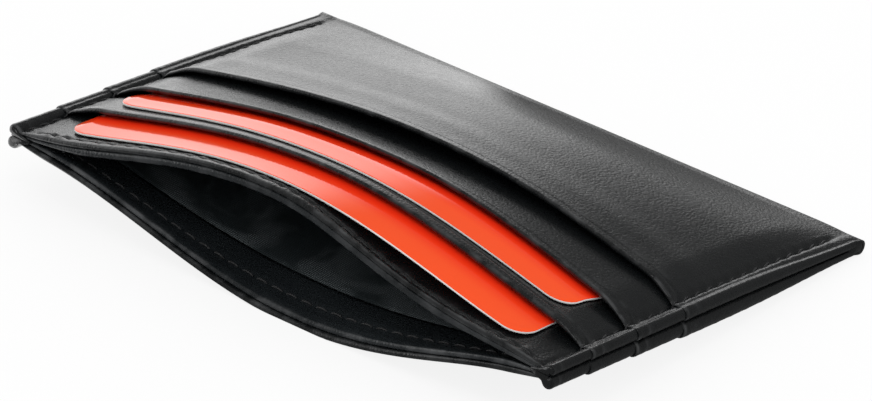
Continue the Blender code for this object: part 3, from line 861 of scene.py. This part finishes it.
def add_facing(half, looks):
    """The facing inside the lip, whose folded edge is the lip's second roll."""
    radius = (FACING + half["facing_swell"]) / 2
    rows = [(half["facing"] + d, share) for d, share in nose_rows(radius)]
    for end, count in FACING_ROWS:
        rows += [(y, 1.0) for y in np.linspace(rows[-1][0], end, count)[1:]]
    outer = []
    inner = []
    for y, nose in rows:
        base = inner_surface(half, COLUMNS, y)
        across = 0.0 * COLUMNS + (y - half["lip_seam"])
        groove = FACING_GROOVE_SHARE * pucker(across, COLUMNS, FACING_HOLES, 0.0)
        low = base - facing_swell(half, COLUMNS, y) - groove
        thick = mix(FABRIC, FACING, room(COLUMNS))
        high = base + (thick + LIP_FILL * (1.0 - smooth(y, *LIP_FILL_FALL)))
        middle = (low + high) / 2
        outer.append(row_points(COLUMNS, y, mix(middle, high, nose)))
        inner.append(row_points(COLUMNS, y, mix(middle, low, nose)))
    parts = [half_solid(half, outer, inner)]
    wear_and_painted_light = np.tile(edge_wear(rows, 0.0, FACING_WEAR, len(COLUMNS)).ravel(), 2)
    node = f"{half['name']}_lip_facing"
    return new_piece(node, "leather", parts, looks, wear_and_painted_light=wear_and_painted_light)


def add_cloth(half, name, layer, span, cut_length, rests_on, columns, pitch, looks):
    """A plain inner layer of cloth, sewn at its sides; cut_length is not used."""
    outer = []
    inner = []
    for y in np.linspace(*span, max(3, round((span[1] - span[0]) / pitch))):
        low = inner_surface(half, columns, y) + levels(half, columns, y)[layer]
        if layer == "lining":
            low = low + UNDER_FACING * (1.0 - smooth(y, FACING_END, FACING_OVERLAP))
        inner.append(row_points(columns, y, low))
        outer.append(row_points(columns, y, low + FABRIC))
    parts = [half_solid(half, outer, inner)]
    cloth = new_piece(f"{half['name']}_{name}", "cloth", parts, looks)
    return cloth


def card_half_width(distance, inset):
    """Half a card's width at a distance from its nearer edge, drawn in by inset."""
    radius = CARD_CORNER - inset
    inside = min(max(CARD_CORNER - max(distance, inset), 0.0), radius)
    return CARD_WIDTH / 2 - CARD_CORNER + math.sqrt(max(radius**2 - inside**2, 0.0))


def card_distances():
    """Distances of a card's rows from its front edge."""
    angles = np.linspace(0.0, math.pi / 2, CARD_CORNER_ROWS)
    arc = [CARD_CORNER * (1.0 - math.cos(a)) for a in angles]
    middle = np.linspace(CARD_CORNER, CARD_DEPTH - CARD_CORNER, CARD_MIDDLE_ROWS)[1:-1]
    return np.array([*arc, *middle, *(CARD_DEPTH - d for d in reversed(arc))])


def card_grid(number, inset, height):
    """Points of one side of a card, whose outline is drawn in by inset."""
    setback = CARD_SETBACKS[number]
    turn = CARD_TURNS[number]
    points = []
    for distance in card_distances():
        near = min(distance, CARD_DEPTH - distance)
        across = np.linspace(-1.0, 1.0, CARD_COLUMNS) * card_half_width(near, inset)
        along = min(max(distance, inset), CARD_DEPTH - inset) - CARD_DEPTH / 2
        x = across * math.cos(turn) + along * math.sin(turn)
        y = setback + CARD_DEPTH / 2 + along * math.cos(turn) - across * math.sin(turn)
        at = unskewed(x, y)
        level = levels(FRONT, x, at)[f"card_{number + 1}"]
        z = inner_surface(FRONT, x, at) + level + height
        points.append(np.stack([x, y, z], axis=1))
    return place(points)


def add_card(number, looks):
    """A card with bevelled edges, whose face lies over a core that shows at its rim."""
    outer = card_grid(number, BEVEL, CARD_BODY)
    inner = card_grid(number, BEVEL, 0.0)
    rows, columns = outer.shape[:2]
    rim = rim_of(rows, columns)
    high = card_grid(number, 0.0, CARD_BODY - BEVEL).reshape(-1, 3)[rim]
    low = card_grid(number, 0.0, BEVEL).reshape(-1, 3)[rim]
    parts = [solid(outer, inner, False, (high, low))]
    # Share of painted light on the card face: 1 near the lip, falling to 0 towards the pocket
    # edge's shade.
    near = np.repeat(1.0 - smooth(card_distances(), CARD_PAINTED_LIGHT_START, CARD_PAINTED_LIGHT_RAMP), columns)
    near = np.concatenate([near, near, near[rim], near[rim]])
    node = f"front_card_{number + 1}"
    body = f"card_{number + 1}"
    item = new_piece(node, "plastic", parts, looks, body, near)
    for polygon in item.data.polygons[2 * (rows - 1) * (columns - 1) + len(rim) :]:
        polygon.material_index = 1
    return item


def thread(path):
    """Points and faces of one stitch along a path, thinner at its ends."""
    path = np.asarray(path, float)
    along = np.gradient(path, axis=0)
    along /= np.linalg.norm(along, axis=1)[:, None]
    side = np.cross(along, [0.0, 0.0, 1.0])
    side /= np.linalg.norm(side, axis=1)[:, None]
    up = np.cross(side, along)
    radii = np.full(len(path), THREAD_RADIUS)
    radii[[0, -1]] *= THREAD_END_SHARE
    angles = np.linspace(0.0, 2 * math.pi, THREAD_SIDES, endpoint=False)
    rings = []
    for point, s, u, radius in zip(path, side, up, radii):
        ring = np.outer(np.cos(angles), s) + THREAD_FLATNESS * np.outer(np.sin(angles), u)
        rings.append(point + radius * ring)
    return ring_solid(rings)


def add_stitches(half, name, holes, point_at, looks, cover=STITCH_COVER):
    """All stitches of one seam, each a thread that dives into its holes.

    point_at gives a point from its place along the seam, its share of the stitch's lean, and its
    height over the leather.
    """
    parts = []
    for first, second in zip(holes, holes[1:]):
        inset = (1.0 - cover) * (second - first) / 2
        path = []
        for share in np.linspace(0.0, 1.0, THREAD_STEPS):
            along = mix(first + inset, second - inset, share)
            sink = STITCH_DIVE * (1.0 - math.sin(math.pi * share) ** 0.5)
            path.append(point_at(along, share - 0.5, THREAD_RADIUS * STITCH_PROUD - sink))
        parts.append(thread(half_place(half, path)))
    return new_piece(f"{half['name']}_{name}", "stitches", parts, looks)


def outermost(half, x, y):
    """Height of the outermost leather on the side seams."""
    for index, layer in ((3, "panel"), (2, "pocket_2"), (1, "pocket_1"), (0, "base")):
        start = POCKET_EDGES[index]
        if y >= start:
            level = float(levels(half, x, y)[layer]) + float(edge_swell(y - start, x))
            return float(inner_surface(half, x, y)) + level + float(leather_at(x))
    return 0.0


def add_side_stitches(half, side, looks):
    def point_at(y, lean, height):
        x = side * (SEAM_X - lean * SIDE_STITCH_LEAN)
        relief = STITCH_RELIEF_SHARE * float(side_relief(x, y))
        return (x, y, outermost(half, side * SEAM_X, y) + relief + height)

    word = "left" if side < 0 else "right"
    return add_stitches(half, f"{word}_seam", SIDE_HOLES, point_at, looks)


def add_lip_stitches(half, looks):
    def point_at(x, lean, height):
        y = half["lip_seam"] + float(scallop(x)) + lean * LIP_STITCH_LEAN
        z = float(inner_surface(half, x, y)) + float(lip_top(half, x, y))
        z += float(edge_swell(y, x)) + STITCH_RELIEF_SHARE * float(lip_relief(half, x, y))
        if half["sign"] < 0:
            z = min(z, float(table_depth(x, y)) - THREAD_RADIUS)
        return (x, y, z + height)

    return add_stitches(half, "lip_seam", LIP_HOLES, point_at, looks)


def add_facing_stitches(half, looks):
    def point_at(x, _, height):
        y = half["lip_seam"]
        z = float(inner_surface(half, x, y)) - float(facing_swell(half, x, y))
        return (x, y, z - height)

    return add_stitches(half, "facing_seam", FACING_HOLES, point_at, looks, FACING_STITCH_COVER)


class Nodes:
    """Short ways to build the node tree of a material or a world."""

    def __init__(self, owner):
        owner.use_nodes = True
        self.owner = owner
        self.tree = owner.node_tree
        nodes = self.tree.nodes
        self.shader = nodes.get("Principled BSDF") or nodes["Background"]
        self.places = self.add("ShaderNodeTexCoord").outputs

    def feed(self, socket, value):
        if isinstance(value, bpy.types.NodeSocket):
            self.tree.links.new(value, socket)
        else:
            socket.default_value = value

    def add(self, kind, inputs=None, **settings):
        node = self.tree.nodes.new(kind)
        for key, value in settings.items():
            setattr(node, key, value)
        for key, value in (inputs or {}).items():
            self.feed(node.inputs[key], value)
        return node

    def set(self, **values):
        for key, value in values.items():
            self.feed(self.shader.inputs[key.replace("_", " ")], value)

    def noise(self, scale, detail, distortion=0.0, output="Fac"):
        inputs = {"Scale": scale, "Detail": detail, "Distortion": distortion}
        inputs["Vector"] = self.places["Object"]
        return self.add("ShaderNodeTexNoise", inputs).outputs[output]

    def bump(self, height, strength, distance, **more):
        inputs = {"Height": height, "Strength": strength, "Distance": distance, **more}
        return self.add("ShaderNodeBump", inputs).outputs["Normal"]

    def ramp(self, value, stops):
        node = self.add("ShaderNodeValToRGB", {0: value})
        for element, (position, colour) in zip(node.color_ramp.elements, stops):
            element.position = position
            element.color = (*colour, 1.0)
        return node.outputs["Color"]

    def range(self, value, low, high, to_low, to_high, **settings):
        inputs = {"Value": value, 1: low, 2: high, 3: to_low, 4: to_high}
        return self.add("ShaderNodeMapRange", inputs, **settings).outputs["Result"]

    def math(self, operation, first, second):
        return self.add("ShaderNodeMath", {0: first, 1: second}, operation=operation).outputs[0]

    def mix(self, share, first, second):
        inputs = {"Factor": share, 6: first, 7: second}
        return self.add("ShaderNodeMix", inputs, data_type="RGBA").outputs[2]


SCUFFED = (0.110, 0.114, 0.118, 1.0)


def leather_material(name, dark, light):
    """Smooth black leather with a fine grain and small wrinkles, scuffed where it wears."""
    nodes = Nodes(bpy.data.materials.new(name))
    warp = {4: nodes.places["Object"], 5: nodes.noise(900.0, 2.0, output="Color")}
    warped = nodes.add("ShaderNodeMix", {"Factor": 0.00035, **warp}, data_type="VECTOR").outputs[1]
    cells = nodes.add(
        "ShaderNodeTexVoronoi",
        {"Vector": warped, "Scale": 2300.0, "Smoothness": 0.5},
        feature="SMOOTH_F1",
    ).outputs["Distance"]
    fine = nodes.noise(5200.0, 3.0)
    wrinkle = nodes.noise(300.0, 4.0, 0.25)
    cloudy = nodes.noise(70.0, 3.0)
    wear_and_painted_light = nodes.add("ShaderNodeAttribute", attribute_name="wear_and_painted_light").outputs["Fac"]
    scuff = nodes.math("MULTIPLY", wear_and_painted_light, nodes.range(wrinkle, 0.42, 0.66, 0.0, 1.0))
    base = nodes.ramp(cloudy, [(0.3, dark), (0.7, light)])
    colour = nodes.mix(nodes.math("MULTIPLY", scuff, 0.5), base, SCUFFED)
    rough = nodes.range(cells, 0.0, 0.8, 0.23, 0.32)
    rough = nodes.math("ADD", rough, nodes.range(wrinkle, 0.3, 0.7, -0.015, 0.015))
    rough = nodes.math("ADD", rough, nodes.math("MULTIPLY", scuff, 0.10))
    height = nodes.math("ADD", cells, nodes.math("MULTIPLY", fine, 0.35))
    grain = nodes.bump(height, 0.50, 0.00007)
    normal = nodes.bump(wrinkle, 0.14, 0.00018, Normal=grain)
    nodes.set(Base_Color=colour, Roughness=rough, Normal=normal, IOR=1.65)
    return nodes.owner


def cloth_material():
    """Woven cloth, shiny in patches like a damask: lower roughness there, and a painted sheen where
    the weave's colour turns lighter in those patches.
    """
    nodes = Nodes(bpy.data.materials.new("black_lining_cloth"))
    waves = []
    for angle in (0.0, math.pi / 2):
        turn = {"Vector": nodes.places["Object"], "Angle": angle}
        turned = nodes.add("ShaderNodeVectorRotate", turn, rotation_type="Z_AXIS").outputs[0]
        inputs = {"Vector": turned, "Scale": 900.0, "Distortion": 0.8, "Detail": 1.0}
        waves.append(nodes.add("ShaderNodeTexWave", inputs).outputs["Fac"])
    weave = nodes.math("MULTIPLY", *waves)
    shiny = nodes.range(nodes.noise(95.0, 3.0, 0.6), 0.44, 0.58, 0.0, 1.0)
    painted_sheen = nodes.math("MULTIPLY", weave, shiny)
    # Painted sheen: the weave is painted much lighter in the shiny patches.
    colour = nodes.mix(painted_sheen, (0.0190, 0.0270, 0.0300, 1.0), (0.200, 0.220, 0.230, 1.0))
    rough = nodes.range(painted_sheen, 0.0, 1.0, 0.78, 0.45)
    normal = nodes.bump(weave, 0.5, 0.00012)
    nodes.set(Base_Color=colour, Roughness=rough, Normal=normal, Specular_IOR_Level=0.4)
    return nodes.owner


def thread_material():
    nodes = Nodes(bpy.data.materials.new("black_sewing_thread"))
    inputs = {"Vector": nodes.places["Object"], "Scale": 1800.0, "Distortion": 2.0, "Detail": 2.0}
    twist = nodes.add("ShaderNodeTexWave", inputs, bands_direction="DIAGONAL").outputs["Fac"]
    colour = nodes.mix(twist, (0.016, 0.016, 0.017, 1.0), (0.045, 0.046, 0.048, 1.0))
    rough = nodes.range(twist, 0.0, 1.0, 0.62, 0.48)
    nodes.set(Base_Color=colour, Roughness=rough, Normal=nodes.bump(twist, 0.6, 0.00008))
    return nodes.owner


def card_materials():
    """Red for a card's faces with a painted light band, more orange where the point attribute is 1
    near the lip and redder towards the pocket edge where shade falls, and white for its core.
    """
    face = Nodes(bpy.data.materials.new("red_card_face"))
    near = face.add("ShaderNodeAttribute", attribute_name="wear_and_painted_light").outputs["Fac"]
    # Painted light: the orange near the lip stands in for brighter light there, the deeper red for
    # the pocket edge's shade.
    colour = face.mix(near, (0.94, 0.026, 0.006, 1.0), (0.96, 0.088, 0.018, 1.0))
    rough = face.range(face.noise(120.0, 3.0), 0.3, 0.7, 0.06, 0.09)
    normal = face.bump(face.noise(4200.0, 1.0), 0.08, 0.00003)
    face.set(Base_Color=colour, Roughness=rough, Normal=normal, IOR=1.5)
    core = Nodes(bpy.data.materials.new("white_card_core"))
    layers = core.noise(2600.0, 2.0)
    colour = core.mix(layers, (0.86, 0.84, 0.82, 1.0), (0.96, 0.95, 0.94, 1.0))
    core.set(Base_Color=colour, Roughness=core.range(layers, 0.0, 1.0, 0.4, 0.6))
    return face.owner, core.owner


# The studio as reflections see it: a bright left side, and dark to the right and overhead
BRIGHT_SIDE = (-0.985, 0.174, 0.0)
SIDE_RANGE = (0.530, 0.668)
HIGH_RANGE = (0.25, 0.70)
HIGH_SHARE = 0.14
GLOSS_DARK = 0.14
GLOSS_BRIGHT = 1.60

# Share of plain white that the camera sees in the floor
FLOOR_WHITE = 0.86


def studio_strength(nodes, direction):
    """Strength of the studio's light in reflections, by direction from the object."""
    unit = nodes.add("ShaderNodeVectorMath", {0: direction}, operation="NORMALIZE").outputs[0]
    inputs = {0: unit, 1: BRIGHT_SIDE}
    side = nodes.add("ShaderNodeVectorMath", inputs, operation="DOT_PRODUCT").outputs["Value"]
    height = nodes.add("ShaderNodeSeparateXYZ", {0: unit}).outputs["Z"]
    left = nodes.range(side, *SIDE_RANGE, 0.0, 1.0, interpolation_type="SMOOTHSTEP")
    low = nodes.range(height, *HIGH_RANGE, 1.0, HIGH_SHARE)
    return nodes.range(nodes.math("MULTIPLY", left, low), 0.0, 1.0, GLOSS_DARK, GLOSS_BRIGHT)


def floor_material():
    """Mostly white to the camera, the studio to reflections, a pale floor to other light."""
    nodes = Nodes(bpy.data.materials.new("pale_floor"))
    nodes.set(Base_Color=(0.93, 0.93, 0.93, 1.0), Roughness=0.9, Specular_IOR_Level=0.1)
    path = nodes.add("ShaderNodeLightPath").outputs
    strength = studio_strength(nodes, nodes.places["Object"])
    studio = nodes.add("ShaderNodeEmission", {"Strength": strength}).outputs[0]
    white = nodes.add("ShaderNodeEmission", {"Strength": 1.0}).outputs[0]
    blend = nodes.shader.outputs[0]
    seen = nodes.math("MULTIPLY", path["Is Camera Ray"], FLOOR_WHITE)
    for share, light in ((path["Is Glossy Ray"], studio), (seen, white)):
        blend = nodes.add("ShaderNodeMixShader", {0: share, 1: blend, 2: light}).outputs[0]
    nodes.feed(nodes.tree.nodes["Material Output"].inputs["Surface"], blend)
    return nodes.owner


LEATHER_LOOK = leather_material(
    "black_leather_grain", (0.0032, 0.0040, 0.0045), (0.0058, 0.0068, 0.0074)
)
# Painted light: the facing inside the lip is the same black leather painted about two and a half
# times lighter, standing in for light that its shade keeps out.
FACING_PAINTED_LIGHT_LOOK = leather_material(
    "black_facing_leather_painted_lighter", (0.0085, 0.0105, 0.0120), (0.0150, 0.0180, 0.0200)
)
CLOTH_LOOK = cloth_material()
THREAD_LOOK = thread_material()
CARD_LOOKS = card_materials()

add_panel([LEATHER_LOOK])
for half in (FRONT, BACK):
    add_strip(half, "base_panel", "base", 0, [LEATHER_LOOK])
    add_strip(half, "pocket_1", "pocket_1", 1, [LEATHER_LOOK])
    add_strip(half, "pocket_2", "pocket_2", 2, [LEATHER_LOOK])
    add_facing(half, [FACING_PAINTED_LIGHT_LOOK])
    add_cloth(
        half,
        "lining",
        "lining",
        (FACING_END - FACING_OVERLAP, LINING_END),
        LINING_CUT_LENGTH,
        "lip_facing",
        LINING_COLUMNS,
        LINING_ROW_PITCH,
        [CLOTH_LOOK],
    )
    for number, layer in ((1, "pocket_1"), (2, "pocket_2")):
        add_cloth(
            half,
            f"{layer}_backing",
            layer,
            (STRIP_ENDS[number] + BACKING_STEP, BACKING_ENDS[number - 1]),
            BACKING_CUT_LENGTHS[number - 1],
            layer,
            BACKING_COLUMNS,
            BACKING_ROW_PITCH,
            [CLOTH_LOOK],
        )
    add_side_stitches(half, -1, [THREAD_LOOK])
    add_side_stitches(half, 1, [THREAD_LOOK])
    add_lip_stitches(half, [THREAD_LOOK])
    add_facing_stitches(half, [THREAD_LOOK])
for number in (0, 1):
    card = add_card(number, CARD_LOOKS)
    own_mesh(card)


# Floor, lights and camera
FLOOR_REACH = 3.0
FLOOR_DROP = 0.00005
floor_mesh = bpy.data.meshes.new("floor")
corners = [(FLOOR_REACH * x, FLOOR_REACH * y, 0.0) for x, y in ((-1, -1), (1, -1), (1, 1), (-1, 1))]
floor_mesh.from_pydata(corners, [], [(0, 1, 2, 3)])
floor_mesh.materials.append(floor_material())
floor = bpy.data.objects.new("floor", floor_mesh)
floor.location.z = -FLOOR_DROP
bpy.context.scene.collection.objects.link(floor)

world = bpy.data.worlds.new("studio")
bpy.context.scene.world = world
sky = Nodes(world)
rays = sky.add("ShaderNodeLightPath").outputs
strength = 1.0
reflected = studio_strength(sky, sky.places["Generated"])
for ray, value in (("Is Glossy Ray", reflected), ("Is Camera Ray", 1.0)):
    inputs = {0: rays[ray], 2: strength, 3: value}
    strength = sky.add("ShaderNodeMix", inputs, data_type="FLOAT").outputs[0]
sky.set(Strength=strength, Color=(1.0, 1.0, 1.0, 1.0))

LAMP_DIRECTION = (0.15, -0.45, 1.0)
LAMP_DISTANCE = 1.2
lamp_data = bpy.data.lights.new("top_softbox", "AREA")
lamp_data.shape = "DISK"
lamp_data.size = 0.25
lamp_data.energy = 0.9
lamp = bpy.data.objects.new("top_softbox", lamp_data)
lamp.location = Vector(LAMP_DIRECTION).normalized() * LAMP_DISTANCE
lamp.rotation_euler = (-lamp.location).to_track_quat("-Z", "Y").to_euler()
bpy.context.scene.collection.objects.link(lamp)

# The photo's view, from its place, turn and field of view
AZIMUTH = math.radians(35.812)
ELEVATION = math.radians(28.322)
ROLL = math.radians(4.685)
TARGET = Vector((0.005146, -0.006365, 0.008))
DISTANCE = 1.0
FOCAL_PIXELS = 6830.0
SENSOR = 36.0
PHOTO_WIDTH = 872.0
back = Vector(
    (
        math.sin(AZIMUTH) * math.cos(ELEVATION),
        -math.cos(AZIMUTH) * math.cos(ELEVATION),
        math.sin(ELEVATION),
    )
)
right = Vector((math.cos(AZIMUTH), math.sin(AZIMUTH), 0.0))
up = back.cross(right)
turned_right = right * math.cos(ROLL) + up * math.sin(ROLL)
turned_up = up * math.cos(ROLL) - right * math.sin(ROLL)
camera_data = bpy.data.cameras.new("camera")
camera_data.lens = FOCAL_PIXELS * SENSOR / PHOTO_WIDTH
camera_data.sensor_width = SENSOR
camera_data.clip_start = 0.05
camera_data.clip_end = 20.0
camera = bpy.data.objects.new("camera", camera_data)
turn = Matrix((turned_right, turned_up, back)).transposed().to_4x4()
camera.matrix_world = Matrix.Translation(TARGET + back * DISTANCE) @ turn
bpy.context.scene.collection.objects.link(camera)
bpy.context.scene.camera = camera
bpy.context.scene.view_settings.view_transform = "Standard"
